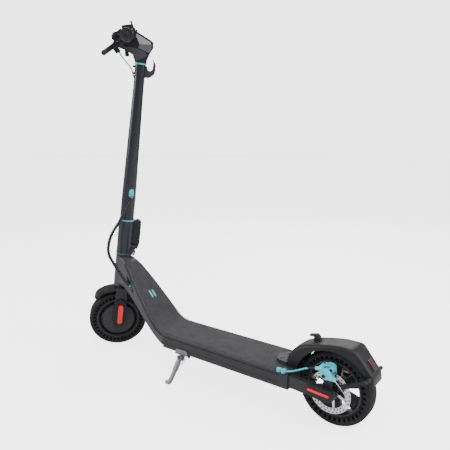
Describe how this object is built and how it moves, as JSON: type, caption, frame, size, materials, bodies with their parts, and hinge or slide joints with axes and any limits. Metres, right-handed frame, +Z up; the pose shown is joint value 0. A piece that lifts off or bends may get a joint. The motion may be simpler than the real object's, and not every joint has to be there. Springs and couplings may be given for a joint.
{
  "type": "electric kick scooter",
  "caption": "Folding electric kick scooter with a hub-motor front wheel, solid tyres, rear disc brake, swept alloy deck, teal trim and a side stand.",
  "frame": {"origin": "on the ground under the middle of the stored scooter's bounding box, with its bars turned 49.74 degrees to the left", "axes": "+Z up; +X towards the front wheel, in the chassis's middle plane, which lies 55.09 mm to the -Y side of the origin; +Y to the rider's left"},
  "size_m": [1.111, 0.3298, 1.1625],
  "materials": {
    "frame_black": "satin black powder coat over cast and extruded alloy",
    "stem_black": "satin black powder coat",
    "mat_grey": "matt ribbed rubber",
    "cover_black": "fine-grained black moulding",
    "gloss_black": "polished black panel",
    "tyre_black": "matt solid rubber",
    "grip_rubber": "matt ribbed rubber",
    "teal_paint": "bright teal moulding",
    "teal_metal": "teal anodised metal",
    "reflector_red": "prismatic red reflector",
    "lamp_red": "dark red lens",
    "lamp_clear": "clear lens",
    "steel_bright": "brushed",
    "stand_silver": "silver-grey coat",
    "rim_grey": "satin dark grey cast alloy with a bright lip",
    "battery_wrap": "blue shrink wrap",
    "copper_iron": "laminated core with windings"
  },
  "bodies": {
    "chassis": {"deck_shell": "frame_black", "bottom_cover": "frame_black", "neck_casting": "frame_black", "deck_mat": "mat_grey", "battery_pack": "battery_wrap", "controller": "rim_grey", "charge_port": "cover_black", "rear_frame": "frame_black", "arm_covers": "cover_black", "rear_reflectors": "reflector_red", "rear_axle": "steel_bright", "rear_fender": "cover_black", "fender_plate": "cover_black", "fender_stay": "frame_black", "tail_light": "lamp_red", "cable_glands": "teal_paint", "rear_brake_cable": "teal_paint", "caliper_body": "teal_metal", "brake_pads": "frame_black", "kickstand_bracket": "stand_silver", "headset_bearings": "steel_bright", "main_cable": "cover_black", "chassis_fasteners": "steel_bright"},
    "caliper_arm": {"caliper_arm": "teal_metal"},
    "charge_cap": {"charge_cap": "grip_rubber"},
    "rear_wheel": {"rear_tyre": "tyre_black", "rear_rim": "rim_grey", "brake_disc": "steel_bright", "rear_wheel_bearings": "steel_bright"},
    "kickstand": {"kickstand_leg": "stand_silver"},
    "fork": {"fork_frame": "frame_black", "fork_covers": "cover_black", "fork_reflectors": "reflector_red", "front_axle": "steel_bright", "motor_stator": "copper_iron", "front_fender": "cover_black", "fold_base": "frame_black", "fold_pin": "steel_bright"},
    "front_wheel": {"front_tyre": "tyre_black", "motor_shell": "rim_grey", "motor_covers": "rim_grey"},
    "stem": {"stem_tube": "stem_black", "stem_sleeve": "stem_black", "accent_rings": "teal_metal", "stem_hook": "frame_black", "head_casting": "frame_black", "display_panel": "gloss_black", "handlebar": "stem_black", "grips": "grip_rubber", "brake_perch": "cover_black", "throttle_housing": "cover_black", "lever_cable": "teal_paint", "bell": "stem_black", "headlight": "lamp_clear", "stem_cable_clips": "teal_paint"},
    "fold_lever": {"fold_lever": "frame_black"},
    "brake_lever": {"brake_lever": "stem_black"},
    "throttle_lever": {"throttle_lever": "cover_black"},
    "bell_striker": {"bell_striker": "stem_black"},
    "mode_button": {"mode_button": "teal_paint"}
  },
  "joints": [
    {"name": "steering", "type": "hinge", "parent": "chassis", "child": "fork", "pos_m": [0.47247, -0.05509, 0.10852], "axis": [-0.1736, 0, 0.9848], "range_deg": [-109.74, 10.26], "deforming": ["main_cable"]},
    {"name": "front_wheel_spin", "type": "hinge", "parent": "fork", "child": "front_wheel", "pos_m": [0.47247, -0.05509, 0.10852], "axis": [-0.7515, 0.6463, -0.1325], "continuous": true},
    {"name": "rear_wheel_spin", "type": "hinge", "parent": "chassis", "child": "rear_wheel", "pos_m": [-0.44253, -0.05509, 0.108], "axis": [0, 1, 0], "continuous": true},
    {"name": "stem_fold", "type": "hinge", "parent": "fork", "child": "stem", "pos_m": [0.40395, -0.08104, 0.3706], "axis": [0.7515, -0.6463, 0.1325], "range_deg": [0, 87], "deforming": ["main_cable"]},
    {"name": "fold_lever_swing", "type": "hinge", "parent": "stem", "child": "fold_lever", "pos_m": [0.39486, -0.08714, 0.39236], "axis": [0.7515, -0.6463, 0.1325], "range_deg": [0, 40]},
    {"name": "brake_lever_pull", "type": "hinge", "parent": "stem", "child": "brake_lever", "pos_m": [0.29205, 0.062, 1.08401], "axis": [0.3177, 0.5305, 0.7859], "range_deg": [0, 18], "stiffness_Nm_per_rad": 1.5, "springref_deg": -8.59},
    {"name": "caliper_arm_swing", "type": "hinge", "parent": "chassis", "child": "caliper_arm", "pos_m": [-0.44253, 0.02691, 0.172], "axis": [0, 1, 0], "range_deg": [0, 20]},
    {"name": "throttle_press", "type": "hinge", "parent": "stem", "child": "throttle_lever", "pos_m": [0.40007, -0.07117, 1.12743], "axis": [0.7515, -0.6463, 0.1325], "range_deg": [0, 30], "stiffness_Nm_per_rad": 0.15, "springref_deg": -11.46},
    {"name": "bell_flick", "type": "hinge", "parent": "stem", "child": "bell_striker", "pos_m": [0.27183, 0.00434, 1.13629], "axis": [0.7515, -0.6463, 0.1325], "range_deg": [0, 25], "stiffness_Nm_per_rad": 0.05, "springref_deg": -8.59},
    {"name": "button_press", "type": "slide", "parent": "stem", "child": "mode_button", "axis": [0.4103, 0.3006, -0.861], "range_m": [0, 0.001], "stiffness_N_per_m": 300, "springref_m": -0.0005},
    {"name": "kickstand_fold", "type": "hinge", "parent": "chassis", "child": "kickstand", "pos_m": [0.06947, 0.02891, 0.079], "axis": [0, 0.8477, 0.5305], "range_deg": [0, 88]},
    {"name": "charge_cap_open", "type": "hinge", "parent": "chassis", "child": "charge_cap", "pos_m": [0.11747, -0.13459, 0.128], "axis": [-1, 0, 0], "range_deg": [0, 120]}
  ],
  "couplings": [
    {"joint": "caliper_arm_swing", "follows": "brake_lever_pull", "ratio": 1.11}
  ]
}
